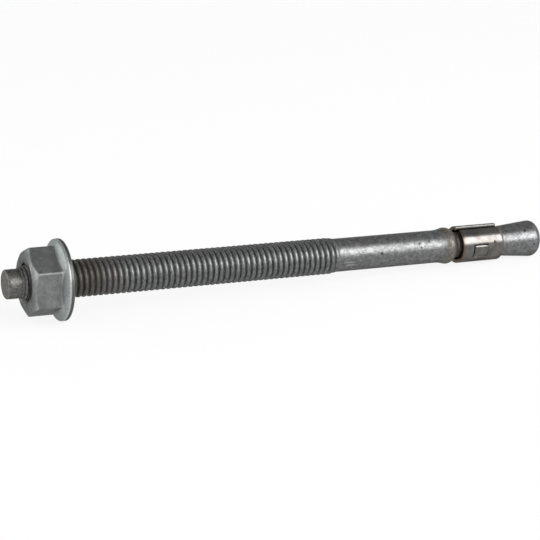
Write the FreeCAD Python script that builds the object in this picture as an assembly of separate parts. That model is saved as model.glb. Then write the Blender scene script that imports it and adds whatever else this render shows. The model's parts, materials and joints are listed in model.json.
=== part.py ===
import FreeCAD, Part
import math
import os
from FreeCAD import Placement, Rotation, Vector

# A wedge anchor: a stud with a threaded length and a tapered expansion end, a spring clip
# rolled round the stud's neck, and a hexagon flange nut on the thread.
# Lengths are in millimetres and angles in degrees. Each piece is drawn with the stud's axis
# along +X, from the dog point at X = 0 to the cone end, and then laid down as it rests.

# Stud, from the dog point to the cone end. The threaded length is as thick as its crests.
stud_length = 125.45
dog_diameter = 6.1
dog_length = 2.6
dog_edge_radius = 0.45
thread_diameter = 7.9
thread_pitch = 1.25
thread_lead_in = 2.6
thread_length = 70.55
thread_runout = 1.6
shank_diameter = 7.3
bead_diameter = 8.15
bead_rise = 2.9
bead_radius = 2.2
neck_fillet = 0.5
neck_diameter = 5.8
neck_length = 6.1
cone_length = 15.15
cone_diameter = 8.45
cone_end_radius = 1.45

# Flange nut
nut_standoff = 4.1
nut_height = 8.15
nut_across_flats = 13.0
nut_chamfer_angle = 30.0
nut_face_diameter = 11.4
flange_diameter = 17.0
flange_rim = 1.2
flange_slope = 28.0
flange_bevel = 0.2
nut_bore_clearance = 0.06
nut_mouth_diameter = 8.7
nut_corner_angle = 28.0

# Expansion clip
clip_length = 10.4
clip_diameter = 8.3
clip_sheet = 0.8
clip_seat_clearance = 0.02
seam_gap = 0.7
seam_angle = 72.0
seam_lift = 0.35
seam_lift_arc = 35.0
seam_skew = 0.75
tongue_length = 3.65
tongue_width = 3.2
tongue_offset = 2.8
tongue_from_seam = 84.0
tongue_bend = 6.0
tongue_slit = 0.15

# How far the nut and the clip may travel
nut_turns_out = 3
clip_travel = 0.5

stud_axis = Vector(1, 0, 0)
origin = Vector(0, 0, 0)


def arc(centre_x, centre_r, radius, start, end):
    """An arc of a lengthwise outline. Angles run from +X towards larger radius."""
    points = []
    for angle in (start, (start + end) / 2, end):
        turn = math.radians(angle)
        points.append(Vector(centre_x + radius * math.cos(turn), centre_r + radius * math.sin(turn), 0))
    return Part.Arc(*points).toShape()


def line(start, end):
    return Part.LineSegment(Vector(*start, 0), Vector(*end, 0)).toShape()


def turned(edges):
    """A solid of revolution about the stud's axis, from a closed lengthwise outline."""
    return Part.Face(Part.Wire(edges)).revolve(origin, stud_axis, 360)


def turned_polygon(corners):
    edges = [line(a, b) for a, b in zip(corners, corners[1:] + corners[:1])]
    return turned(edges)


# Radii and stations along the stud that follow from the sizes above
dog_radius = dog_diameter / 2
thread_radius = thread_diameter / 2
thread_start = dog_length
thread_end = thread_start + thread_length
shank_start = thread_end + thread_runout
shank_radius = shank_diameter / 2
neck_radius = neck_diameter / 2
cone_foot = stud_length - cone_length
cone_slope = (cone_diameter - neck_diameter) / 2 / cone_length
cone_angle = math.degrees(math.atan(cone_slope))
neck_foot = cone_foot - neck_length

# The bead is one round ridge: its arc runs from the shank's hollow fillet over the crest to
# the neck's fillet, and the three arcs are tangent to each other.
bead_centre_r = bead_diameter / 2 - bead_radius
bead_centre_x = neck_foot - math.sqrt(
    (bead_radius + neck_fillet) ** 2 - (neck_radius + neck_fillet - bead_centre_r) ** 2)
bead_height = bead_diameter / 2 - shank_radius
rise_radius = (bead_rise ** 2 + bead_height ** 2) / (2 * bead_height) - bead_radius
rise_angle = math.degrees(math.asin(bead_rise / (bead_radius + rise_radius)))
shoulder_angle = math.degrees(math.acos((neck_foot - bead_centre_x) / (bead_radius + neck_fillet)))

# The cone's end is rounded by an arc that is tangent to its flank and to its end face
cone_round_x = stud_length - cone_end_radius
cone_round_r = (neck_radius + cone_slope * (cone_round_x - cone_foot)
                - cone_end_radius / math.cos(math.radians(cone_angle)))

# Nut and clip stations
nut_face = nut_standoff
nut_bearing = nut_face + nut_height
nut_bore = thread_radius + nut_bore_clearance
nut_range = (-nut_turns_out * thread_pitch,
             math.floor((thread_end - nut_bearing) / thread_pitch) * thread_pitch)
clip_outer = clip_diameter / 2
clip_inner = clip_outer - clip_sheet
clip_end = cone_foot + (clip_inner - clip_seat_clearance - neck_radius) / cone_slope
clip_start = clip_end - clip_length
clip_range = (-clip_travel, 0)

# The anchor lies on the corner of its flange's rim and on the rounded cone end: the line under
# both is level, so the stud's axis dips towards the cone by this angle.
rim_radius = flange_diameter / 2
rim_corner = nut_bearing - flange_bevel
support_run = cone_round_x - rim_corner
support_fall = rim_radius - cone_round_r
rest_tilt = math.degrees(math.atan2(support_fall, support_run)
                         - math.asin(cone_end_radius / math.hypot(support_run, support_fall)))


def rest_placement():
    """Lays the anchor down, with its base on Z = 0 and the middle of its box over the origin."""
    tilt = math.radians(rest_tilt)
    left = (dog_edge_radius * math.cos(tilt)
            - (dog_radius - dog_edge_radius) * math.sin(tilt) - dog_edge_radius)
    right = cone_round_x * math.cos(tilt) + cone_round_r * math.sin(tilt) + cone_end_radius
    height = rim_corner * math.sin(tilt) + rim_radius * math.cos(tilt)
    return Placement(Vector(-(left + right) / 2, 0, height), Rotation(Vector(0, 1, 0), rest_tilt))


def anchor_bolt():
    """The stud in one outline: dog point, thread, shank, bead, neck and cone."""
    bead_start = bead_centre_x - bead_rise
    rounding_x = cone_round_x + cone_end_radius * math.cos(math.radians(90 + cone_angle))
    rounding_r = cone_round_r + cone_end_radius * math.sin(math.radians(90 + cone_angle))
    edges = [line((0, 0), (0, dog_radius - dog_edge_radius)),
             arc(dog_edge_radius, dog_radius - dog_edge_radius, dog_edge_radius, 180, 90),
             line((dog_edge_radius, dog_radius), (thread_start, dog_radius)),
             line((thread_start, dog_radius), (thread_start + thread_lead_in, thread_radius)),
             line((thread_start + thread_lead_in, thread_radius), (thread_end, thread_radius)),
             line((thread_end, thread_radius), (shank_start, shank_radius)),
             line((shank_start, shank_radius), (bead_start, shank_radius)),
             arc(bead_start, shank_radius + rise_radius, rise_radius, -90, -90 + rise_angle),
             arc(bead_centre_x, bead_centre_r, bead_radius, 90 + rise_angle, shoulder_angle),
             arc(neck_foot, neck_radius + neck_fillet, neck_fillet, 180 + shoulder_angle, 270),
             line((neck_foot, neck_radius), (cone_foot, neck_radius)),
             line((cone_foot, neck_radius), (rounding_x, rounding_r)),
             arc(cone_round_x, cone_round_r, cone_end_radius, 90 + cone_angle, 0),
             line((stud_length, cone_round_r), (stud_length, 0)),
             line((stud_length, 0), (0, 0))]
    return turned(edges)


def flange_nut():
    """Hexagon and flange forged as one. The bore runs clear of the stud's crests.

    It is drawn with a corner level with the axis, and then turned about the stud.
    """
    corner_radius = nut_across_flats / 2 / math.cos(math.radians(30))
    corners = []
    for index in range(7):
        angle = math.radians(180 - 60 * index)
        corners.append(Vector(nut_face, corner_radius * math.cos(angle), corner_radius * math.sin(angle)))
    hexagon = Part.Face(Part.makePolygon(corners)).extrude(Vector(nut_height - flange_rim / 2, 0, 0))
    face_radius = nut_face_diameter / 2
    chamfer_run = (corner_radius + 1 - face_radius) * math.tan(math.radians(nut_chamfer_angle))
    chamfer = turned_polygon([(nut_face, 0), (nut_face, face_radius),
                              (nut_face + chamfer_run, corner_radius + 1),
                              (nut_bearing, corner_radius + 1), (nut_bearing, 0)])
    rim_front = nut_bearing - flange_rim
    slope_run = rim_radius * math.tan(math.radians(flange_slope))
    flange = turned_polygon([(rim_front - slope_run, 0), (rim_front, rim_radius), (rim_corner, rim_radius),
                             (nut_bearing, rim_radius - flange_bevel), (nut_bearing, 0)])
    blank = hexagon.common(chamfer).fuse(flange)
    mouth = nut_mouth_diameter / 2
    bore = turned_polygon([(nut_face - 1, 0), (nut_face - 1, mouth + 1), (nut_face, mouth),
                           (nut_face + mouth - nut_bore, nut_bore),
                           (nut_bearing + nut_bore - mouth, nut_bore), (nut_bearing, mouth),
                           (nut_bearing + 1, mouth + 1), (nut_bearing + 1, 0)])
    nut = blank.cut(bore)
    nut.rotate(origin, stud_axis, -nut_corner_angle)
    return nut


def facing(angle):
    """A direction square to the stud, this angle above level on the -Y side."""
    turn = math.radians(angle)
    return Vector(0, -math.cos(turn), math.sin(turn))


def bent_sheet(inner, outer, start, end, centre, length):
    """A strip of sheet bent round an axis along +X, from one angle to another."""
    middle = (start + end) / 2
    outside = [centre + facing(angle) * outer for angle in (start, middle, end)]
    inside = [centre + facing(angle) * inner for angle in (end, middle, start)]
    wire = Part.Wire([Part.Arc(*outside).toShape(),
                      Part.LineSegment(outside[2], inside[0]).toShape(),
                      Part.Arc(*inside).toShape(),
                      Part.LineSegment(inside[2], outside[0]).toShape()])
    return Part.Face(wire).extrude(Vector(length, 0, 0))


def seam_shear(x, past, reach):
    """Trims one end of the lifted part: a wedge that is thickest at the seam, up to a side."""
    seam = facing(seam_angle)
    across = facing(seam_angle + 90)
    far = 2 * clip_outer
    corners = [Vector(x, 0, 0) + across * reach, Vector(x - seam_skew, 0, 0),
               Vector(x - seam_skew, 0, 0) - across * far, Vector(past, 0, 0) - across * far,
               Vector(past, 0, 0) + across * reach]
    return Part.Face(Part.makePolygon(corners + corners[:1])).extrude(seam * far)


def tongue(middle):
    """A tongue lanced out of the sheet: its slit, and the tongue itself bent up at one edge."""
    half = math.degrees(tongue_width / 2 / clip_outer)
    slit = math.degrees(tongue_slit / clip_outer)
    start = clip_start + tongue_offset
    root, tip = middle - half, middle + half
    window = bent_sheet(clip_inner - 1, clip_outer + 1, root, tip,
                        Vector(start, 0, 0), tongue_length)
    leaf = bent_sheet(clip_inner, clip_outer, root - slit, tip - slit,
                      Vector(start + tongue_slit, 0, 0), tongue_length - 2 * tongue_slit)
    hinge = Vector(start, 0, 0) + facing(root) * clip_inner
    leaf.rotate(hinge, stud_axis, -tongue_bend)
    return window, leaf


def expansion_clip():
    """Spring sheet rolled round the neck, with its far end standing a little proud."""
    half_gap = math.degrees(seam_gap / 2 / clip_outer)
    near_end = seam_angle - half_gap
    far_end = seam_angle + half_gap
    lift_start = far_end + seam_lift_arc
    grown = seam_lift / (1 - math.cos(math.radians(seam_lift_arc)))
    body = bent_sheet(clip_inner, clip_outer, lift_start - 360, near_end,
                      Vector(clip_start, 0, 0), clip_length)
    lift_centre = Vector(clip_start - seam_skew, 0, 0) - facing(lift_start) * grown
    lifted = bent_sheet(clip_inner + grown, clip_outer + grown, far_end, lift_start,
                        lift_centre, clip_length + seam_skew)
    reach = clip_outer * math.sin(math.radians(seam_lift_arc))
    beyond = clip_length / 2
    lifted = lifted.cut(seam_shear(clip_end, clip_end + beyond, reach))
    lifted = lifted.common(seam_shear(clip_start, clip_end + beyond, reach))
    sheet = body.fuse(lifted)
    for side in (-1, 1):
        window, leaf = tongue(seam_angle + side * tongue_from_seam)
        sheet = sheet.cut(window).fuse(leaf)
    return sheet


def main():
    os.makedirs("parts", exist_ok=True)
    placement = rest_placement()
    pieces = {"anchor_bolt": anchor_bolt(), "flange_nut": flange_nut(), "expansion_clip": expansion_clip()}
    for name, piece in pieces.items():
        piece.Placement = placement.multiply(piece.Placement)
        piece.exportStep("parts/" + name + ".step")
        print(name, piece.isValid(), len(piece.Solids), len(piece.Faces), round(piece.Volume, 2))


main()
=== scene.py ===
"""A wedge anchor as it lies on a table: threaded stud, expansion clip and flange nut.

Lengths are in metres. The stud's own frame has its origin at the dog point's end and +X along
the stud. laid_down() gives that frame where the anchor lies.
"""

import json
import math

import bmesh
import bpy
from bpy.props import FloatProperty, FloatVectorProperty, IntProperty, PointerProperty
from mathutils import Matrix, Vector


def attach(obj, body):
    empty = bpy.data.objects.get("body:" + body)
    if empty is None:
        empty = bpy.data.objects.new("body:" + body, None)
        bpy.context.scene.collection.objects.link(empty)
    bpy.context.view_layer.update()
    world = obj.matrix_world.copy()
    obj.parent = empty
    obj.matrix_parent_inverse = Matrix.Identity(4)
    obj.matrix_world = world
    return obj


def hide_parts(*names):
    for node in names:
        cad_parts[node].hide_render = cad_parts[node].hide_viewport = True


bl_info = {
    "name": "Wedge Anchor",
    "version": (1, 0, 0),
    "blender": (4, 5, 0),
    "location": "View3D > Sidebar > Wedge Anchor",
    "description": "Builds a wedge anchor's stud, nut and clip, and a studio to see them in",
    "category": "Add Mesh",
}

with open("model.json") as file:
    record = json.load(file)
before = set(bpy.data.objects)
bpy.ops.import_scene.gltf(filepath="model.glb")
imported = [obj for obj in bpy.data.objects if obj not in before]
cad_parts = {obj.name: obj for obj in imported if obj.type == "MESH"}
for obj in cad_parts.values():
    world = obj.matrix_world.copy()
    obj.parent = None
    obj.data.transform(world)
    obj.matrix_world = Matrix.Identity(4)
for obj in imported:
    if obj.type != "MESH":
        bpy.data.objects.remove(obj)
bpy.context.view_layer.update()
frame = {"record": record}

MM = 0.001
MERGE_DISTANCE = 1e-6

# How many sides the rings of the stud and of the nut have
STUD_RING = 120
NUT_RING = 240

# The ridge's height at shares of a pitch: 0 is the groove and 1 the crest
RIDGE_PROFILE = ((0.08, 0.22), (0.18, 0.70), (0.28, 0.93), (0.42, 1.0),
                 (0.58, 1.0), (0.72, 0.93), (0.82, 0.70), (0.92, 0.22))
THREAD_INPUTS = {"Start": "Float", "Stop": "Float", "Pitch": "Float", "Crest radius": "Float",
                 "Root radius": "Float", "Segments": "Int", "Rows per turn": "Int", "Metal": "Material"}

# The tint of a metal's reflections where it is seen at a flat angle
EDGE_TINT = (0.4, 0.4, 0.4, 1.0)

# Places in millimetres in the stud's own frame: each pit's middle and reach, and each
# scratch's arc centre, arc radius, middle and reach
STUD_PITS = (((84.4, -3.61, 0.56), 0.36), ((93.9, -3.12, 1.90), 0.28), ((94.3, -3.48, 1.11), 0.26),
             ((96.4, -2.96, 2.14), 0.30), ((121.4, -2.75, 2.72), 0.34), ((123.3, -4.03, -0.29), 0.24))
CLIP_PITS = (((112.9, -3.99, 1.14), 0.32),)
STUD_SCRATCHES = (((76.4, -1.5, -6.5), 6.1, (76.4, -3.60, -0.80), 1.2),
                  ((77.1, -1.2, -7.2), 6.1, (77.1, -3.36, -1.50), 1.4))


def length(name, words, millimetres):
    return FloatProperty(name=name, description=words, default=millimetres * MM,
                         min=0.0, unit="LENGTH", precision=5)


def colour(name, words, value):
    return FloatVectorProperty(name=name, description=words, default=value,
                               min=0.0, max=1.0, size=4, subtype="COLOR")


class StudSizes(bpy.types.PropertyGroup):
    """Sizes of the stud, from the dog point to the cone end."""

    length: length("Length", "From the dog point's end to the cone's end", 125.45)
    dog_diameter: length("Dog diameter", "Across the unthreaded point", 6.1)
    dog_length: length("Dog length", "From the end to the thread", 2.6)
    dog_edge: length("Dog edge radius", "Rounding of the point's edge", 0.45)
    thread_diameter: length("Thread diameter", "Across the crests", 7.9)
    thread_pitch: length("Pitch", "From one ridge to the next", 1.25)
    thread_depth: length("Thread depth", "From crest to groove", 0.55)
    lead_in: length("Lead-in", "Length of the cone that the thread starts on", 2.6)
    ring_depth: length("Ring depth", "Depth of the fine rings where the thread starts", 0.14)
    thread_length: length("Thread length", "From the dog point to the last full crest", 70.55)
    runout: length("Runout", "Length in which the grooves fade", 1.6)
    shank_diameter: length("Shank diameter", "Across the plain shank", 7.3)
    bead_diameter: length("Bead diameter", "Across the ridge before the neck", 8.15)
    bead_rise: length("Bead rise", "From the shank to the bead's top", 2.9)
    bead_radius: length("Bead radius", "Roundness of the bead's top", 2.2)
    neck_diameter: length("Neck diameter", "Across the neck under the clip", 5.8)
    neck_length: length("Neck length", "From the bead's fillet to the cone", 6.1)
    neck_fillet: length("Neck fillet", "Hollow rounding at the bead's foot", 0.5)
    cone_length: length("Cone length", "From the neck to the end", 15.15)
    cone_diameter: length("Cone diameter", "Across the cone at its end, before rounding", 8.45)
    cone_rounding: length("Cone rounding", "Rounding of the cone's end", 1.45)
    rows_per_turn: IntProperty(name="Rows per turn", description="Fineness of the thread",
                               default=11, min=6, max=24)


class NutSizes(bpy.types.PropertyGroup):
    """Sizes of the flange nut."""

    standoff: length("Standoff", "From the dog point's end to the nut's outer face", 4.1)
    height: length("Height", "From the outer face to the bearing face", 8.15)
    across_flats: length("Across flats", "Width of the hexagon", 13.0)
    corner_radius: length("Corner radius", "Rounding of the hexagon's upright edges", 0.7)
    face_diameter: length("Face diameter", "Across the flat of the outer face", 11.4)
    flange_diameter: length("Flange diameter", "Across the flange", 17.0)
    rim: length("Rim", "Thickness of the flange at its rim", 1.2)
    mouth_diameter: length("Mouth diameter", "Across the countersink at each end", 8.7)
    edge: length("Edge rounding", "Rounding of the forged edges", 0.28)
    thread_clearance: length("Thread clearance", "Gap between the two threads", 0.06)
    chamfer_angle: FloatProperty(name="Chamfer angle", description="Slope of the corner chamfer",
                                 default=math.radians(30), subtype="ANGLE")
    flange_slope: FloatProperty(name="Flange slope", description="Slope of the flange's top",
                                default=math.radians(28), subtype="ANGLE")
    corner_angle: FloatProperty(name="Corner angle", description="Front corner above level",
                                default=math.radians(28), subtype="ANGLE")


class ClipSizes(bpy.types.PropertyGroup):
    """Sizes of the expansion clip."""

    length: length("Length", "Along the stud", 10.4)
    diameter: length("Diameter", "Across the rolled clip", 8.3)
    sheet: length("Sheet", "Thickness of the sheet", 0.8)
    seam_gap: length("Seam gap", "Between the sheet's two ends", 0.7)
    lift: length("Lift", "How far the far end stands proud", 0.35)
    skew: length("Skew", "How far the far end is shifted along", 0.75)
    tongue_length: length("Tongue length", "Along the stud", 3.65)
    tongue_width: length("Tongue width", "Round the clip", 3.2)
    tongue_offset: length("Tongue offset", "From the clip's end to the tongue", 2.8)
    slit: length("Slit", "Width of the cut round a tongue", 0.12)
    roll_over: length("Roll-over", "How far a tongue's tip edge is rolled in", 0.2)
    edge: length("Edge rounding", "Rounding of the sheet's edges", 0.09)
    seam_angle: FloatProperty(name="Seam angle", description="Seam above level, at the front",
                              default=math.radians(72), subtype="ANGLE")
    lift_arc: FloatProperty(name="Lift arc", description="Arc over which the far end springs out",
                            default=math.radians(35), subtype="ANGLE")
    tongue_angle: FloatProperty(name="Tongue angle", description="From the seam to a tongue",
                                default=math.radians(84), subtype="ANGLE")
    tongue_bend: FloatProperty(name="Tongue bend", description="How far a tongue is turned up",
                               default=math.radians(6), subtype="ANGLE")


class FinishColours(bpy.types.PropertyGroup):
    """Colours of the metals."""

    stud: colour("Stud", "Dull galvanised steel", (0.108, 0.109, 0.110, 1.0))
    stud_light: colour("Stud light", "Rubbed galvanised steel", (0.178, 0.179, 0.180, 1.0))
    fleck: colour("Fleck", "Bare flecks of zinc", (0.26, 0.262, 0.258, 1.0))
    point: colour("Point", "Dull steel of the point", (0.135, 0.133, 0.126, 1.0))
    point_end: colour("Point end", "Sheared end of the point", (0.20, 0.198, 0.188, 1.0))
    # Dark specks, pits and dirt, and painted shade deep in the thread's grooves
    groove: colour("Groove", "Dirt in the grooves and pits", (0.022, 0.021, 0.020, 1.0))
    stain: colour("Stain", "Brown stain beside the nut, and specks on the clip",
                  (0.054, 0.046, 0.039, 1.0))
    rust: colour("Rust", "Brown spots on the shoulder and along the clip's edge",
                 (0.112, 0.082, 0.050, 1.0))
    nut: colour("Nut", "Zinc plated steel", (0.145, 0.151, 0.147, 1.0))
    nut_light: colour("Nut light", "Rubbed zinc", (0.205, 0.213, 0.208, 1.0))
    # Painted sheen on the flange's slope and painted highlight on the chamfer, in place of the light they
    # reflect
    flange: colour("Flange", "Fresh zinc on the flange and the edges", (0.345, 0.37, 0.367, 1.0))
    # Painted shade on the flange's rim
    rim: colour("Rim", "Dull rim of the flange", (0.085, 0.088, 0.086, 1.0))
    # Bright scratches on the stud, and a painted highlight along the flange's edge
    scratch_and_edge_glint: colour("Scratch", "Bright metal in the scratches and on the flange's edge",
                    (0.55, 0.55, 0.54, 1.0))
    clip: colour("Clip", "Stainless sheet", (0.104, 0.098, 0.091, 1.0))
    clip_light: colour("Clip light", "Bright stainless sheet", (0.162, 0.157, 0.148, 1.0))
    clip_cut: colour("Clip cut", "Cut edge at the seam", (0.27, 0.262, 0.245, 1.0))


class StudioSizes(bpy.types.PropertyGroup):
    """The camera's lens, the lamps and the surroundings."""

    focal: FloatProperty(name="Focal length", description="Lens, in millimetres on a 36 mm film",
                         default=123.33, min=1.0, unit="CAMERA")
    front_power: FloatProperty(name="Front lamp", description="Power of the front lamp, in watts",
                               default=6.2, min=0.0, unit="POWER")
    side_power: FloatProperty(name="Side lamp", description="Power of the side lamp, in watts",
                              default=1.7, min=0.0, unit="POWER")
    sky: FloatProperty(name="Surroundings", description="Light that the surroundings give",
                       default=1.0, min=0.0)


def laid_down():
    """The stud's own frame, as a matrix, from its axis and the middle of the point's straight side."""
    record = frame["record"]
    axis = Vector(record["behaviour"]["joints"][0]["axis"])
    dog_mount = next(m for m in record["mounts"] if m["name"] == "dog_point")
    sizes = bpy.context.scene.anchor_stud
    mount_station = (sizes.dog_edge + sizes.dog_length) / 2
    start = Vector(dog_mount["pos_m"]) - axis * mount_station
    return Matrix.Translation(start) @ Matrix.Rotation(math.asin(-axis.z), 4, "Y")


def middle_of_clip():
    """The station of the clip's middle, along the stud."""
    grip = next(m for m in frame["record"]["mounts"] if m["name"] == "drilled_hole_grip")
    return (laid_down().inverted() @ Vector(grip["pos_m"])).x


def ring_angles(count):
    """Even angles round the stud, from -180 degrees."""
    return [-math.pi + 2 * math.pi * i / count for i in range(count)]


def round_corners(points, radii, steps=5):
    """A lengthwise outline with each inner corner replaced by an arc of its own radius."""
    outline = [points[0]]
    for before, corner, after, radius in zip(points, points[1:], points[2:], radii):
        a, c, b = Vector(before), Vector(corner), Vector(after)
        to_a, to_b = (a - c).normalized(), (b - c).normalized()
        half = math.acos(max(-1.0, min(1.0, to_a.dot(to_b)))) / 2
        reach = min(radius / math.tan(half), (a - c).length * 0.49, (b - c).length * 0.49)
        middle = c + (to_a + to_b).normalized() * (reach / math.cos(half))
        first, last = c + to_a * reach - middle, c + to_b * reach - middle
        for step in range(steps + 1):
            share = step / steps
            spoke = first.lerp(last, share).normalized() * first.length
            outline.append(tuple(middle + spoke))
    outline.append(points[-1])
    return outline


def arc_points(centre, radius, start, end, steps):
    """Points on an arc from one angle to another."""
    return [(centre[0] + radius * math.cos(start + (end - start) * i / steps),
             centre[1] + radius * math.sin(start + (end - start) * i / steps))
            for i in range(steps + 1)]


def spun(mesh, outlines, close_start=False, close_end=False):
    """Adds a skin through one lengthwise outline for each ring angle."""
    columns = []
    for angle, outline in zip(ring_angles(len(outlines)), outlines):
        turn = Vector((0, math.cos(angle), math.sin(angle)))
        columns.append([mesh.verts.new(Vector((x, 0, 0)) + turn * r) for x, r in outline])
    for left, right in zip(columns, columns[1:] + columns[:1]):
        for i in range(len(left) - 1):
            mesh.faces.new((left[i], right[i], right[i + 1], left[i + 1]))
    for wanted, index in ((close_start, 0), (close_end, -1)):
        if wanted:
            hub = mesh.verts.new((columns[0][index].co.x, 0, 0))
            for left, right in zip(columns, columns[1:] + columns[:1]):
                mesh.faces.new((hub, left[index], right[index]))


class Nodes:
    """Adds number nodes to a tree."""

    def __init__(self, tree):
        self.tree = tree

    def feed(self, socket, value):
        """Links a socket to another one, or gives it a plain value."""
        if isinstance(value, bpy.types.NodeSocket):
            self.tree.links.new(value, socket)
        else:
            socket.default_value = value

    def number(self, operation, *values):
        node = self.tree.nodes.new("ShaderNodeMath")
        node.operation = operation
        for socket, value in zip(node.inputs, values):
            self.feed(socket, value)
        return node.outputs[0]


def thread_tree():
    """Geometry nodes: a helical skin of ridges between two stations of a rod."""
    tree = bpy.data.node_groups.new("Thread ridges", "GeometryNodeTree")
    sockets = {name: tree.interface.new_socket(name, in_out="INPUT", socket_type="NodeSocket" + kind)
               for name, kind in THREAD_INPUTS.items()}
    tree.interface.new_socket("Geometry", in_out="OUTPUT", socket_type="NodeSocketGeometry")
    given = tree.nodes.new("NodeGroupInput").outputs
    out = tree.nodes.new("NodeGroupOutput")
    nodes = Nodes(tree)
    feed = nodes.feed
    number = nodes.number

    step = number("DIVIDE", given["Pitch"], given["Rows per turn"])
    half_pitch = number("MULTIPLY", given["Pitch"], 0.5)
    first_row = number("FLOOR", number("DIVIDE", number("SUBTRACT", given["Start"], half_pitch), step))
    last_row = number("CEIL", number("DIVIDE", number("ADD", given["Stop"], half_pitch), step))
    rows = number("SUBTRACT", last_row, first_row)
    middle_row = number("MULTIPLY", number("ADD", first_row, last_row), 0.5)

    grid = tree.nodes.new("GeometryNodeMeshGrid")
    feed(grid.inputs["Size X"], 2 * math.pi)
    feed(grid.inputs["Size Y"], number("MULTIPLY", rows, step))
    feed(grid.inputs["Vertices X"], number("ADD", given["Segments"], 1))
    feed(grid.inputs["Vertices Y"], number("ADD", rows, 1))

    place = tree.nodes.new("ShaderNodeSeparateXYZ")
    feed(place.inputs[0], tree.nodes.new("GeometryNodeInputPosition").outputs[0])
    angle = place.outputs["X"]
    along = number("ADD", place.outputs["Y"], number("MULTIPLY", middle_row, step))
    climb = number("MULTIPLY", number("DIVIDE", angle, 2 * math.pi), given["Pitch"])
    station = number("MINIMUM", number("ADD", along, climb), given["Stop"])
    station = number("MAXIMUM", station, given["Start"])

    profile = tree.nodes.new("ShaderNodeFloatCurve")
    curve = profile.mapping.curves[0]
    curve.points[0].location = (0.0, 0.0)
    curve.points[1].location = (1.0, 0.0)
    for phase, height in RIDGE_PROFILE:
        curve.points.new(phase, height)
    profile.mapping.update()
    feed(profile.inputs["Value"], number("FRACT", number("DIVIDE", along, given["Pitch"])))
    depth = number("SUBTRACT", given["Crest radius"], given["Root radius"])
    radius = number("ADD", given["Root radius"], number("MULTIPLY", profile.outputs[0], depth))

    point = tree.nodes.new("ShaderNodeCombineXYZ")
    feed(point.inputs["X"], station)
    feed(point.inputs["Y"], number("MULTIPLY", radius, number("COSINE", angle)))
    feed(point.inputs["Z"], number("MULTIPLY", radius, number("SINE", angle)))
    bend = tree.nodes.new("GeometryNodeSetPosition")
    feed(bend.inputs["Geometry"], grid.outputs["Mesh"])
    feed(bend.inputs["Position"], point.outputs[0])
    real = tree.nodes.new("GeometryNodeRealizeInstances")
    feed(real.inputs[0], bend.outputs[0])
    painted = tree.nodes.new("GeometryNodeSetMaterial")
    feed(painted.inputs["Geometry"], real.outputs[0])
    feed(painted.inputs["Material"], given["Metal"])
    feed(out.inputs[0], painted.outputs[0])
    return tree, {name: socket.identifier for name, socket in sockets.items()}


def thread_skin(start, stop, crest, root, segments, metal):
    """A plain mesh of thread ridges in the stud's own frame."""
    sizes = bpy.context.scene.anchor_stud
    tree, named = thread_tree()
    holder = bpy.data.objects.new("thread_ridges", bpy.data.meshes.new("thread_ridges"))
    bpy.context.collection.objects.link(holder)
    ridges = holder.modifiers.new("Thread ridges", "NODES")
    ridges.node_group = tree
    for name, value in (("Start", start), ("Stop", stop), ("Pitch", sizes.thread_pitch),
                        ("Crest radius", crest), ("Root radius", root), ("Segments", segments),
                        ("Rows per turn", sizes.rows_per_turn), ("Metal", metal)):
        ridges[named[name]] = value
    seen = holder.evaluated_get(bpy.context.evaluated_depsgraph_get())
    skin = bpy.data.meshes.new_from_object(seen)
    bpy.data.objects.remove(holder)
    bpy.data.node_groups.remove(tree)
    return skin


def smooth_step(low, high, value):
    """0 up to one value, 1 from another, and a soft slope between them."""
    share = max(0.0, min(1.0, (value - low) / (high - low)))
    return share * share * (3 - 2 * share)


def turned_to(mesh, wanted_radius):
    """Moves each corner straight out or in to the radius wanted at its station and radius."""
    for vert in mesh.verts:
        radius = math.hypot(vert.co.y, vert.co.z)
        wanted = wanted_radius(vert.co.x, radius)
        vert.co.y *= wanted / radius
        vert.co.z *= wanted / radius


def finished_piece(name, mesh, metal, node, body):
    """Closes, lays down and registers a piece that is drawn in the stud's own frame."""
    bmesh.ops.remove_doubles(mesh, verts=mesh.verts, dist=MERGE_DISTANCE)
    bmesh.ops.dissolve_degenerate(mesh, dist=MERGE_DISTANCE / 10, edges=mesh.edges)
    bmesh.ops.recalc_face_normals(mesh, faces=mesh.faces)
    bmesh.ops.transform(mesh, matrix=laid_down(), verts=mesh.verts)
    data = bpy.data.meshes.new(name)
    mesh.to_mesh(data)
    mesh.free()
    data.materials.clear()
    data.materials.append(metal)
    for polygon in data.polygons:
        polygon.material_index = 0
        polygon.use_smooth = True
    piece = bpy.data.objects.new(name, data)
    bpy.context.collection.objects.link(piece)
    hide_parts(node)
    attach(piece, body)


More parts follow.
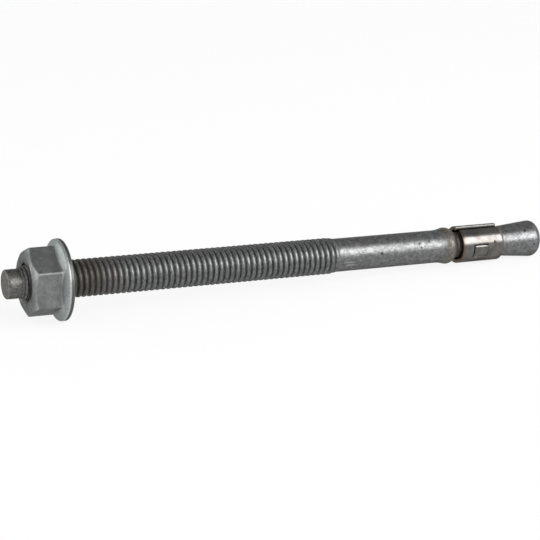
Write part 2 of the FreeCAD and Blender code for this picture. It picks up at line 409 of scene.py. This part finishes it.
class MetalNodes(Nodes):
    """A metal's node tree, with its coordinates in millimetres in the stud's own frame."""

    def __init__(self, name):
        self.material = bpy.data.materials.new(name)
        self.material.use_nodes = True
        super().__init__(self.material.node_tree)
        self.shader = self.tree.nodes["Principled BSDF"]
        self.shader.inputs["Specular Tint"].default_value = EDGE_TINT
        where = self.tree.nodes.new("ShaderNodeTexCoord")
        own_frame = laid_down()
        turn = self.tree.nodes.new("ShaderNodeMapping")
        turn.vector_type = "TEXTURE"
        turn.inputs["Location"].default_value = own_frame.translation
        turn.inputs["Rotation"].default_value = own_frame.to_euler()
        turn.inputs["Scale"].default_value = (MM, MM, MM)
        self.tree.links.new(where.outputs["Object"], turn.inputs["Vector"])
        self.place = turn.outputs["Vector"]
        parts = self.tree.nodes.new("ShaderNodeSeparateXYZ")
        self.feed(parts.inputs[0], self.place)
        self.station = parts.outputs["X"]
        across = self.tree.nodes.new("ShaderNodeCombineXYZ")
        self.feed(across.inputs["Y"], parts.outputs["Y"])
        self.feed(across.inputs["Z"], parts.outputs["Z"])
        self.radius = self.vector("LENGTH", across.outputs[0], output="Value")

    def vector(self, operation, *values, output="Vector"):
        node = self.tree.nodes.new("ShaderNodeVectorMath")
        node.operation = operation
        for socket, value in zip(node.inputs, values):
            self.feed(socket, value)
        return node.outputs[output]

    def times(self, first, second):
        return self.number("MULTIPLY", first, second)

    def ramp(self, value, low, high, to_low=0.0, to_high=1.0):
        """A smooth change from one number to another as a value goes from low to high."""
        node = self.tree.nodes.new("ShaderNodeMapRange")
        node.interpolation_type = "SMOOTHSTEP"
        for name, given in (("Value", value), ("From Min", low), ("From Max", high),
                            ("To Min", to_low), ("To Max", to_high)):
            self.feed(node.inputs[name], given)
        return node.outputs[0]

    def between(self, value, rise, fall):
        """1 between two slopes, each given as where it is 0 and where it is 1."""
        return self.times(self.ramp(value, *rise), self.ramp(value, *fall))

    def noise(self, per_mm, detail, roughness, stretch=(1, 1, 1)):
        """Soft random spots, so many to a millimetre."""
        node = self.tree.nodes.new("ShaderNodeTexNoise")
        self.feed(node.inputs["Vector"], self.vector("MULTIPLY", self.place, stretch))
        self.feed(node.inputs["Scale"], per_mm)
        self.feed(node.inputs["Detail"], detail)
        self.feed(node.inputs["Roughness"], roughness)
        return node.outputs["Fac"]

    def blend(self, share, first, second):
        """The first colour, with a share of the second over it."""
        node = self.tree.nodes.new("ShaderNodeMix")
        node.data_type = "RGBA"
        self.feed(node.inputs["Factor"], share)
        self.feed(node.inputs["A"], first)
        self.feed(node.inputs["B"], second)
        return node.outputs["Result"]

    def near(self, centre, reach):
        """1 at a point of the surface, falling to 0 round the distance that it reaches."""
        away = self.vector("DISTANCE", self.place, centre, output="Value")
        return self.ramp(away, 0.5 * reach, 1.5 * reach, 1.0, 0.0)

    def pitted(self, tone, pits, share, dirt):
        """A colour with dirt in its pits."""
        for centre, reach in pits:
            tone = self.blend(self.times(self.near(centre, reach), share), tone, dirt)
        return tone

    def bump(self, strength, distance_mm, *layers):
        """Raises the surface by noises, each with its share of the height."""
        heights = 0.0
        for noise, share in layers:
            heights = self.number("ADD", heights, self.times(noise, share))
        node = self.tree.nodes.new("ShaderNodeBump")
        self.feed(node.inputs["Height"], heights)
        node.inputs["Strength"].default_value = strength
        node.inputs["Distance"].default_value = distance_mm * MM
        self.tree.links.new(node.outputs["Normal"], self.shader.inputs["Normal"])


def galvanised_steel():
    """Dull zinc with bare flecks, dirt and painted shade in the grooves, a stain beside the nut and a
    rusty shoulder.
    """
    colours = bpy.context.scene.anchor_colours
    sizes = bpy.context.scene.anchor_stud
    metal = MetalNodes("Galvanised steel")
    cloud = metal.noise(1.1, 6.0, 0.62)
    grain = metal.noise(2.7, 6.0, 0.72)
    fleck = metal.noise(2.0, 3.0, 0.8)

    dog_end = sizes.dog_length / MM
    thread_end = (sizes.dog_length + sizes.thread_length) / MM
    neck_start = (sizes.length - sizes.cone_length - sizes.neck_length) / MM
    crest = sizes.thread_diameter / 2 / MM
    root = crest - sizes.thread_depth / MM
    on_end = metal.ramp(metal.station, 0.35, 0.1)
    on_point = metal.ramp(metal.station, dog_end + 3.0, dog_end + 2.0)
    in_thread = metal.between(metal.station, (dog_end + 2.6, dog_end + 3.6),
                              (thread_end + 1.5, thread_end))
    # Painted shade, with dirt, deep in the thread's grooves, strongest at the root
    groove_dirt_and_shade = metal.times(metal.ramp(metal.radius, root + 0.26, root + 0.02), in_thread)
    near_nut = metal.between(metal.station, (9.0, 11.0), (27.0, 17.0))
    stained = metal.times(near_nut, metal.ramp(cloud, 0.30, 0.60, 0.55, 1.0))
    on_shoulder = metal.between(metal.station, (neck_start - 4.0, neck_start - 2.6),
                                (neck_start + 3.0, neck_start + 2.0))
    rusty = metal.times(on_shoulder, metal.ramp(grain, 0.46, 0.56, 0.12, 0.9))
    unstained = metal.ramp(stained, 0.0, 1.0, 1.0, 0.2)
    bare = metal.times(metal.ramp(fleck, 0.53, 0.66, 0.0, 0.5), unstained)

    point = metal.blend(on_end, colours.point, colours.point_end)
    point = metal.blend(metal.ramp(grain, 0.50, 0.66, 0.0, 0.55), point, colours.groove)
    point = metal.blend(metal.ramp(cloud, 0.48, 0.62, 0.0, 0.35), point, colours.groove)
    tone = metal.blend(metal.ramp(cloud, 0.36, 0.64), colours.stud, colours.stud_light)
    tone = metal.blend(on_point, tone, point)
    # Darkens the grooves: dirt and painted shade
    tone = metal.blend(metal.times(groove_dirt_and_shade, 0.55), tone, colours.groove)
    tone = metal.blend(stained, tone, colours.stain)
    tone = metal.blend(rusty, tone, colours.rust)
    tone = metal.blend(metal.ramp(grain, 0.54, 0.68, 0.0, 0.6), tone, colours.groove)
    tone = metal.blend(bare, tone, colours.fleck)
    tone = metal.pitted(tone, STUD_PITS, 0.8, colours.groove)
    for centre, radius, middle, reach in STUD_SCRATCHES:
        away = metal.vector("DISTANCE", metal.place, centre, output="Value")
        off_line = metal.number("ABSOLUTE", metal.number("SUBTRACT", away, radius))
        line = metal.times(metal.ramp(off_line, 0.14, 0.03), metal.near(middle, reach))
        tone = metal.blend(metal.times(line, 0.45), tone, colours.scratch_and_edge_glint)
    metal.feed(metal.shader.inputs["Base Color"], tone)

    crusted = metal.number("MAXIMUM", rusty, near_nut)
    metal.feed(metal.shader.inputs["Metallic"], metal.ramp(crusted, 0.0, 1.0, 0.9, 0.45))
    dull = metal.times(in_thread, metal.ramp(metal.station, 35.0, 65.0, 1.0, 0.25))
    dull = metal.number("MAXIMUM", dull, on_point)
    dull = metal.number("MAXIMUM", dull, on_shoulder)
    rough = metal.number("ADD", metal.ramp(grain, 0.35, 0.65, 0.29, 0.43), metal.times(dull, 0.10))
    metal.feed(metal.shader.inputs["Roughness"], rough)
    metal.bump(0.5, 0.10, (cloud, 0.35), (grain, 0.45), (fleck, 0.35))
    return metal.material


def zinc_plate():
    """Grey plating, with painted sheen on the flange's slope, painted highlights on the chamfer and the
    flange's edge, and painted shade on the rim.
    """
    colours = bpy.context.scene.anchor_colours
    sizes = bpy.context.scene.anchor_nut
    metal = MetalNodes("Zinc plate")
    cloud = metal.noise(0.45, 4.0, 0.55)
    grain = metal.noise(2.6, 5.0, 0.7)

    face = sizes.standoff / MM
    bearing = (sizes.standoff + sizes.height) / MM
    rim = sizes.flange_diameter / 2 / MM
    slope_height = (rim - sizes.across_flats / 2 / MM) * math.tan(sizes.flange_slope)
    slope_foot = bearing - (sizes.rim / MM + slope_height)
    slope_end = bearing - sizes.rim / MM + 0.28
    on_slope = metal.between(metal.station, (slope_foot - 0.2, slope_foot + 0.5),
                             (slope_end + 0.3, slope_end))
    rim_shade = metal.times(metal.ramp(metal.station, slope_end, slope_end + 0.2),
                         metal.ramp(metal.radius, rim - 0.25, rim - 0.1))
    off_edge = metal.number("ABSOLUTE", metal.number("SUBTRACT", metal.station, slope_end))
    at_edge = metal.times(metal.ramp(off_edge, 0.26, 0.10),
                          metal.ramp(metal.radius, rim - 0.35, rim - 0.15))
    chamfer_start = sizes.face_diameter / 2 / MM
    climb = metal.times(metal.number("SUBTRACT", metal.radius, chamfer_start),
                        math.tan(sizes.chamfer_angle))
    off_chamfer = metal.number("SUBTRACT", metal.number("SUBTRACT", metal.station, face), climb)
    on_chamfer = metal.times(metal.ramp(off_chamfer, 0.30, 0.08),
                             metal.ramp(metal.radius, chamfer_start + 0.3, chamfer_start + 1.6))

    tone = metal.blend(metal.ramp(cloud, 0.35, 0.7), colours.nut, colours.nut_light)
    # Painted sheen: the flange's slope painted lighter, unevenly
    slope_sheen = metal.times(on_slope, metal.ramp(cloud, 0.3, 0.7, 0.7, 1.0))
    tone = metal.blend(slope_sheen, tone, colours.flange)
    # Painted shade on the flange's rim
    tone = metal.blend(metal.times(rim_shade, 0.85), tone, colours.rim)
    # Painted highlight along the flange's edge, broken up by grain
    edge_glint = metal.times(at_edge, metal.ramp(grain, 0.35, 0.6, 0.1, 0.7))
    tone = metal.blend(edge_glint, tone, colours.scratch_and_edge_glint)
    # Painted highlight on the chamfer, uneven, in the flange's colour
    chamfer_glint = metal.times(on_chamfer, metal.ramp(cloud, 0.35, 0.65, 0.5, 1.0))
    tone = metal.blend(chamfer_glint, tone, colours.flange)
    tone = metal.blend(metal.ramp(grain, 0.55, 0.66, 0.0, 0.45), tone, colours.groove)
    metal.feed(metal.shader.inputs["Base Color"], tone)
    metal.shader.inputs["Metallic"].default_value = 0.85
    metal.feed(metal.shader.inputs["Roughness"], metal.ramp(grain, 0.3, 0.7, 0.34, 0.46))
    metal.bump(0.4, 0.08, (cloud, 1.0), (grain, 0.35))
    return metal.material


def stainless_sheet():
    """Bright rolled sheet, with a brown edge beside the bead and a pale cut at the seam."""
    colours = bpy.context.scene.anchor_colours
    sizes = bpy.context.scene.anchor_clip
    metal = MetalNodes("Stainless sheet")
    cloud = metal.noise(0.5, 4.0, 0.5)
    grain = metal.noise(3.0, 4.0, 0.65)
    rolled = metal.noise(1.6, 4.0, 0.6, stretch=(0.25, 1.6, 1.6))

    start = middle_of_clip() / MM - sizes.length / 2 / MM
    uneven_station = metal.number("ADD", metal.station, metal.times(grain, 0.8))
    at_start = metal.ramp(uneven_station, start + 1.1, start + 0.5)
    round_clip = (0, math.sin(sizes.seam_angle), math.cos(sizes.seam_angle))
    across_seam = metal.vector("DOT_PRODUCT", metal.place, round_clip, output="Value")
    half_gap = sizes.seam_gap / 2 / MM
    off_cut = metal.number("ABSOLUTE", metal.number("SUBTRACT", across_seam, half_gap))
    height = metal.vector("DOT_PRODUCT", metal.place, (0, 0, 1), output="Value")
    cut = metal.times(metal.ramp(off_cut, 0.12, 0.05), metal.ramp(grain, 0.35, 0.60, 1.0, 0.5))
    cut = metal.times(cut, metal.ramp(height, 0.0, 1.0))

    tone = metal.blend(metal.ramp(cloud, 0.3, 0.7), colours.clip, colours.clip_light)
    tone = metal.blend(metal.times(at_start, 0.7), tone, colours.rust)
    tone = metal.blend(metal.ramp(grain, 0.60, 0.74, 0.0, 0.45), tone, colours.stain)
    tone = metal.blend(cut, tone, colours.clip_cut)
    tone = metal.pitted(tone, CLIP_PITS, 1.0, colours.groove)
    metal.feed(metal.shader.inputs["Base Color"], tone)
    metal.shader.inputs["Metallic"].default_value = 1.0
    metal.feed(metal.shader.inputs["Roughness"], metal.ramp(grain, 0.3, 0.7, 0.17, 0.27))
    metal.bump(0.2, 0.04, (rolled, 1.0), (grain, 0.3))
    return metal.material


class ANCHOR_OT_stud(bpy.types.Operator):
    """Build the stud, with its thread, shank, bead, neck and cone"""

    bl_idname = "anchor.stud"
    bl_label = "Stud"

    def execute(self, context):
        s = context.scene.anchor_stud
        metal = galvanised_steel()
        crest, shank = s.thread_diameter / 2, s.shank_diameter / 2
        dog, neck = s.dog_diameter / 2, s.neck_diameter / 2
        ridge_start = s.dog_edge + 0.3 * MM
        ridge_stop = s.dog_length + s.thread_length + 2 * s.runout
        skin = thread_skin(ridge_start, ridge_stop, crest, crest - s.thread_depth, STUD_RING, metal)
        mesh = bmesh.new()
        mesh.from_mesh(skin)

        def trimmed(station, radius):
            if station <= ridge_start + MERGE_DISTANCE / 10:
                return dog
            return self.threaded_radius(s, station, radius)

        turned_to(mesh, trimmed)
        inner_ring, outer_ring = 0.4 * dog, 0.75 * dog
        start = [(0, inner_ring), (0, outer_ring)]
        start += arc_points((s.dog_edge, dog - s.dog_edge), s.dog_edge, math.pi, math.pi / 2, 5)
        start += [(ridge_start, dog)]
        spun(mesh, [start] * STUD_RING, close_start=True)
        spun(mesh, [self.plain_end(s, ridge_stop, shank, neck)] * STUD_RING, close_end=True)
        finished_piece("stud", mesh, metal, "anchor_bolt", "stud")
        return {"FINISHED"}

    def threaded_radius(self, s, station, radius):
        """The ridges' radius, cut by the lead-in with its fine rings and faded by the runout."""
        dog, crest, shank = s.dog_diameter / 2, s.thread_diameter / 2, s.shank_diameter / 2
        thread_end = s.dog_length + s.thread_length
        lead_end = s.dog_length + s.lead_in
        cone = dog + (crest - dog) * (station - s.dog_length) / s.lead_in
        wanted = min(radius, max(dog, cone))
        fade = smooth_step(thread_end - s.thread_pitch / 2, thread_end + s.runout, station)
        wanted += (shank - wanted) * fade
        before, past = 0.3 * MM, 0.2 * MM
        rings = smooth_step(s.dog_length - before, s.dog_length + past, station)
        rings *= 1 - smooth_step(lead_end - s.thread_pitch, lead_end, station)
        wave = 0.5 - 0.5 * math.cos(4 * math.pi * (station - s.dog_length) / s.thread_pitch)
        return wanted - s.ring_depth * rings * wave

    def plain_end(self, s, start, shank, neck):
        """Shank, bead, neck and cone, as arcs that are tangent to each other."""
        cone_foot = s.length - s.cone_length
        neck_foot = cone_foot - s.neck_length
        slope = (s.cone_diameter / 2 - neck) / s.cone_length
        bead_r = s.bead_diameter / 2 - s.bead_radius
        bead_x = neck_foot - math.sqrt((s.bead_radius + s.neck_fillet) ** 2
                                       - (neck + s.neck_fillet - bead_r) ** 2)
        height = s.bead_diameter / 2 - shank
        hollow = (s.bead_rise ** 2 + height ** 2) / (2 * height) - s.bead_radius
        rise = math.asin(s.bead_rise / (s.bead_radius + hollow))
        shoulder = math.acos((neck_foot - bead_x) / (s.bead_radius + s.neck_fillet))
        quarter = math.pi / 2
        tilt = math.atan(slope)
        end_x = s.length - s.cone_rounding
        end_r = neck + slope * (end_x - cone_foot) - s.cone_rounding / math.cos(tilt)
        bead_start = bead_x - s.bead_rise
        shank_steps = 24
        outline = [(start + (bead_start - start) * i / shank_steps, shank) for i in range(shank_steps)]
        outline += arc_points((bead_start, shank + hollow), hollow, -quarter, rise - quarter, 10)
        outline += arc_points((bead_x, bead_r), s.bead_radius, quarter + rise, shoulder, 20)
        outline += arc_points((neck_foot, neck + s.neck_fillet), s.neck_fillet,
                              math.pi + shoulder, 3 * quarter, 6)
        outline += [(cone_foot, neck)]
        cone_steps = 10
        outline += [(cone_foot + (end_x - cone_foot) * i / cone_steps,
                     neck + slope * (end_x - cone_foot) * i / cone_steps) for i in range(1, cone_steps)]
        outline += arc_points((end_x, end_r), s.cone_rounding, quarter + tilt, 0, 12)
        outer_ring, inner_ring = 0.6 * end_r, 0.2 * end_r
        outline += [(s.length, outer_ring), (s.length, inner_ring)]
        return outline


class ANCHOR_OT_nut(bpy.types.Operator):
    """Build the flange nut, with its inner thread"""

    bl_idname = "anchor.nut"
    bl_label = "Flange nut"

    def execute(self, context):
        s = context.scene.anchor_nut
        stud = context.scene.anchor_stud
        metal = zinc_plate()
        face = s.standoff
        bearing = s.standoff + s.height
        crest = stud.thread_diameter / 2 + s.thread_clearance
        skin = thread_skin(face, bearing, crest, crest - stud.thread_depth, NUT_RING, metal)
        mesh = bmesh.new()
        mesh.from_mesh(skin)
        mouth = s.mouth_diameter / 2

        def countersunk(station, radius):
            inset = min(station - face, bearing - station)
            return max(radius, mouth - inset)

        turned_to(mesh, countersunk)
        spun(mesh, [self.outline(s, angle, face, bearing, mouth) for angle in ring_angles(NUT_RING)])
        finished_piece("flange_nut_body", mesh, metal, "flange_nut", "nut")
        return {"FINISHED"}

    def hexagon_radius(self, s, angle):
        """Distance from the axis to the hexagon's outline, with its corners rounded."""
        sector = math.pi / 3
        corner = math.pi - s.corner_angle
        off = (angle - corner + sector / 2) % sector - sector / 2
        apothem = s.across_flats / 2
        flat = apothem / math.cos(sector / 2 - abs(off))
        centre = (apothem - s.corner_radius) / math.cos(sector / 2)
        root = s.corner_radius ** 2 - (centre * math.sin(off)) ** 2
        if root > 0:
            arc = centre * math.cos(off) + math.sqrt(root)
            foot = Vector((arc * math.cos(off) - centre, arc * math.sin(off)))
            if abs(foot.angle_signed(Vector((1, 0)))) < sector / 2:
                return arc
        return flat

    def outline(self, s, angle, face, bearing, mouth):
        """From the outer mouth over the face, chamfer, flat, flange and rim to the inner mouth."""
        hexagon = self.hexagon_radius(s, angle)
        flat_face = s.face_diameter / 2
        rim = s.flange_diameter / 2
        rim_front = bearing - s.rim
        chamfer_x = face + (hexagon - flat_face) * math.tan(s.chamfer_angle)
        slope_x = rim_front - (rim - hexagon) * math.tan(s.flange_slope)
        corners = [(face, mouth), (face, flat_face), (chamfer_x, hexagon), (slope_x, hexagon),
                   (rim_front, rim), (bearing, rim), (bearing, mouth)]
        face_edge, flange_foot, rim_edge, bearing_edge = 0.15 * MM, 0.35 * MM, 0.45 * MM, 0.25 * MM
        return round_corners(corners, [face_edge, s.edge, flange_foot, rim_edge, bearing_edge])


class ANCHOR_OT_clip(bpy.types.Operator):
    """Build the expansion clip, with its lifted end and its two tongues"""

    bl_idname = "anchor.clip"
    bl_label = "Expansion clip"

    def execute(self, context):
        s = context.scene.anchor_clip
        metal = stainless_sheet()
        outer = s.diameter / 2
        near = s.seam_angle - s.seam_gap / 2 / outer
        far = self.far_end(s)
        half = s.tongue_width / 2 / outer
        windows = [(middle - half, middle + half)
                   for middle in (s.seam_angle - s.tongue_angle,
                                  s.seam_angle + s.tongue_angle - 2 * math.pi)]
        angle_step = math.radians(4)
        station_step = 0.9 * MM
        window_edges = [edge for window in windows for edge in window]
        angles = self.spread(far, near, window_edges, angle_step)
        start = middle_of_clip() - s.length / 2
        first = start + s.tongue_offset
        last = first + s.tongue_length
        stations = self.spread(start, start + s.length, [first, last], station_step)
        mesh = bmesh.new()
        sheet = {}
        for i, angle in enumerate(angles):
            for j, station in enumerate(stations):
                sheet[i, j] = mesh.verts.new(self.on_sheet(s, angle, station))
        for i in range(len(angles) - 1):
            for j in range(len(stations) - 1):
                middle_angle = (angles[i] + angles[i + 1]) / 2
                middle_station = (stations[j] + stations[j + 1]) / 2
                cut = first < middle_station < last and any(a < middle_angle < b for a, b in windows)
                if not cut:
                    mesh.faces.new((sheet[i, j], sheet[i + 1, j], sheet[i + 1, j + 1], sheet[i, j + 1]))
        for root, tip in windows:
            self.tongue(s, mesh, root, tip - s.slit / outer, first + s.slit, last - s.slit)
        bmesh.ops.remove_doubles(mesh, verts=mesh.verts, dist=MERGE_DISTANCE)
        bmesh.ops.recalc_face_normals(mesh, faces=mesh.faces)
        self.turn_outwards(mesh)
        solid = self.thickened(s, mesh)
        finished_piece("clip_sheet", solid, metal, "expansion_clip", "clip")
        return {"FINISHED"}

    def far_end(self, s):
        """The angle of the end that springs out, reached the long way round from the seam."""
        return s.seam_angle + s.seam_gap / 2 / (s.diameter / 2) - 2 * math.pi

    def spread(self, low, high, stops, step):
        """Even steps between two ends that also stop at each given place."""
        values = []
        places = sorted([low, high] + list(stops))
        for a, b in zip(places, places[1:]):
            count = max(1, math.ceil((b - a) / step))
            values += [a + (b - a) * i / count for i in range(count)]
        return values + [high]

    def on_sheet(self, s, angle, station, raised=0.0):
        """A place on the sheet's outer side, with the far end sprung out and shifted along."""
        past = max(0.0, 1 - (angle - self.far_end(s)) / s.lift_arc)
        radius = s.diameter / 2 + raised + s.lift * past ** 2
        shift = -s.skew * past
        return Vector((station + shift, -radius * math.cos(angle), radius * math.sin(angle)))

    def tongue(self, s, mesh, root, tip, first, last):
        """A leaf of sheet that turns up from its root edge and rolls over at its tip."""
        steps = 16
        columns = 4
        roll_start = 0.75
        stations = [first + (last - first) * j / columns for j in range(columns + 1)]
        rows = []
        for i in range(steps + 1):
            angle = root + (tip - root) * i / steps
            rolled = max(0.0, (i / steps - roll_start) / (1 - roll_start))
            raised = s.diameter / 2 * (angle - root) * math.tan(s.tongue_bend) - s.roll_over * rolled ** 2
            rows.append([mesh.verts.new(self.on_sheet(s, angle, station, raised))
                         for station in stations])
        for low, high in zip(rows, rows[1:]):
            for j in range(columns):
                mesh.faces.new((low[j], high[j], high[j + 1], low[j + 1]))

    def turn_outwards(self, mesh):
        """Turns each face away from the stud's axis, so that the wall grows inwards."""
        for face in mesh.faces:
            centre = face.calc_center_median()
            if face.normal.dot(Vector((0, centre.y, centre.z))) < 0:
                face.normal_flip()

    def thickened(self, s, mesh):
        """The sheet with its thickness and rounded edges."""
        data = bpy.data.meshes.new("clip_blank")
        mesh.to_mesh(data)
        mesh.free()
        blank = bpy.data.objects.new("clip_blank", data)
        bpy.context.collection.objects.link(blank)
        wall = blank.modifiers.new("Wall", "SOLIDIFY")
        wall.thickness = s.sheet
        wall.offset = -1
        rounding = blank.modifiers.new("Rounding", "BEVEL")
        rounding.width = s.edge
        rounding.segments = 2
        rounding.angle_limit = math.radians(50)
        seen = blank.evaluated_get(bpy.context.evaluated_depsgraph_get())
        solid = bmesh.new()
        solid.from_mesh(seen.to_mesh())
        bpy.data.objects.remove(blank)
        return solid


class ANCHOR_OT_studio(bpy.types.Operator):
    """Build the floor, the lamps, the surroundings and the camera"""

    bl_idname = "anchor.studio"
    bl_label = "Studio"

    def execute(self, context):
        scene = context.scene
        s = scene.anchor_studio
        scene.view_settings.view_transform = "Standard"
        self.floor()
        self.ceiling()
        self.lamp("front_lamp", (0.42, -0.65, 0.40), (0.52, 0.52), s.front_power)
        self.lamp("side_lamp", (-0.90, 0.40, 0.22), (0.8, 0.5), s.side_power)
        self.surroundings(scene, s.sky)
        self.camera(scene, s.focal)
        return {"FINISHED"}

    def seen_as_background(self, tree, share, lit, plain, output):
        """Shows a plain shader to camera, glossy and transmission rays, and a lit one to the rest."""
        nodes = Nodes(tree)
        path = tree.nodes.new("ShaderNodeLightPath").outputs
        seen = nodes.number("MAXIMUM", path["Is Camera Ray"], path["Is Glossy Ray"])
        seen = nodes.number("MAXIMUM", seen, path["Is Transmission Ray"])
        mix = tree.nodes.new("ShaderNodeMixShader")
        nodes.feed(mix.inputs[0], nodes.number("MULTIPLY", seen, share))
        nodes.feed(mix.inputs[1], lit.outputs[0])
        nodes.feed(mix.inputs[2], plain.outputs[0])
        nodes.feed(output.inputs["Surface"], mix.outputs[0])

    def matt_sheet(self, name, corners, material_name, grey):
        """A flat sheet in a matt grey, with its four corners in order."""
        data = bpy.data.meshes.new(name)
        data.from_pydata(corners, [], [(0, 1, 2, 3)])
        material = bpy.data.materials.new(material_name)
        material.use_nodes = True
        matt = material.node_tree.nodes["Principled BSDF"]
        matt.inputs["Base Color"].default_value = (grey, grey, grey, 1)
        matt.inputs["Roughness"].default_value = 1.0
        data.materials.append(material)
        sheet = bpy.data.objects.new(name, data)
        bpy.context.collection.objects.link(sheet)
        return sheet

    def floor(self):
        """White paper that looks white from everywhere and still keeps the anchor's shadow."""
        reach = 3.0
        corners = [(-reach, -reach, 0), (reach, -reach, 0), (reach, reach, 0), (-reach, reach, 0)]
        floor = self.matt_sheet("floor", corners, "White paper", 0.9)
        tree = floor.data.materials[0].node_tree
        glow = tree.nodes.new("ShaderNodeEmission")
        self.seen_as_background(tree, 0.86, tree.nodes["Principled BSDF"], glow,
                                tree.nodes["Material Output"])

    def ceiling(self):
        """A grey panel overhead and behind, which the upper sides of the metal reflect."""
        side, front, back, height = 0.9, -0.55, 2.0, 1.1
        corners = [(-side, front, height), (-side, back, height),
                   (side, back, height), (side, front, height)]
        panel = self.matt_sheet("ceiling", corners, "Grey panel", 0.4)

    def lamp(self, name, place, size, power):
        """A soft lamp that looks at the middle of the anchor."""
        data = bpy.data.lights.new(name, "AREA")
        data.shape = "RECTANGLE"
        data.size, data.size_y = size
        data.energy = power
        lamp = bpy.data.objects.new(name, data)
        lamp.location = place
        lamp.rotation_euler = (-Vector(place)).to_track_quat("-Z", "Y").to_euler()
        bpy.context.collection.objects.link(lamp)

    def surroundings(self, scene, strength):
        """White surroundings that light the anchor at a strength of their own."""
        world = bpy.data.worlds.new("Studio")
        scene.world = world
        world.use_nodes = True
        tree = world.node_tree
        light = tree.nodes["Background"]
        light.inputs["Color"].default_value = (1, 1, 1, 1)
        light.inputs["Strength"].default_value = strength
        white = tree.nodes.new("ShaderNodeBackground")
        white.inputs["Color"].default_value = (1, 1, 1, 1)
        self.seen_as_background(tree, 1.0, light, white, tree.nodes["World Output"])

    def camera(self, scene, focal):
        """A camera at the left front that looks a little down at the anchor."""
        dip, turn = math.radians(16.932), math.radians(24.479)
        data = bpy.data.cameras.new("camera")
        data.sensor_width = 36.0
        data.lens = focal
        data.clip_start = 0.01
        camera = bpy.data.objects.new("camera", data)
        camera.location = (-0.161755, -0.347260, 0.120785)
        camera.rotation_euler = (math.pi / 2 - dip, 0, -turn)
        bpy.context.collection.objects.link(camera)
        scene.camera = camera


class ANCHOR_PT_panel(bpy.types.Panel):
    """Lists the anchor's pieces, sizes and colours"""

    bl_label = "Wedge Anchor"
    bl_space_type = "VIEW_3D"
    bl_region_type = "UI"
    bl_category = "Wedge Anchor"

    def draw(self, context):
        for operator, group in ((ANCHOR_OT_stud, "anchor_stud"), (ANCHOR_OT_nut, "anchor_nut"),
                                (ANCHOR_OT_clip, "anchor_clip"), (ANCHOR_OT_studio, "anchor_studio")):
            box = self.layout.box()
            box.operator(operator.bl_idname)
            settings = getattr(context.scene, group)
            for name in settings.__annotations__:
                box.prop(settings, name)
        colours = context.scene.anchor_colours
        for name in colours.__annotations__:
            self.layout.prop(colours, name)


GROUPS = {"anchor_stud": StudSizes, "anchor_nut": NutSizes, "anchor_clip": ClipSizes,
          "anchor_colours": FinishColours, "anchor_studio": StudioSizes}
OPERATORS = (ANCHOR_OT_stud, ANCHOR_OT_nut, ANCHOR_OT_clip, ANCHOR_OT_studio)


def register():
    for name, group in GROUPS.items():
        bpy.utils.register_class(group)
        setattr(bpy.types.Scene, name, PointerProperty(type=group))
    for operator in OPERATORS:
        bpy.utils.register_class(operator)
    bpy.utils.register_class(ANCHOR_PT_panel)


def unregister():
    bpy.utils.unregister_class(ANCHOR_PT_panel)
    for operator in reversed(OPERATORS):
        bpy.utils.unregister_class(operator)
    for name, group in reversed(GROUPS.items()):
        delattr(bpy.types.Scene, name)
        bpy.utils.unregister_class(group)


def main():
    register()
    bpy.ops.anchor.stud()
    bpy.ops.anchor.nut()
    bpy.ops.anchor.clip()
    bpy.ops.anchor.studio()


if __name__ == "__main__":
    main()
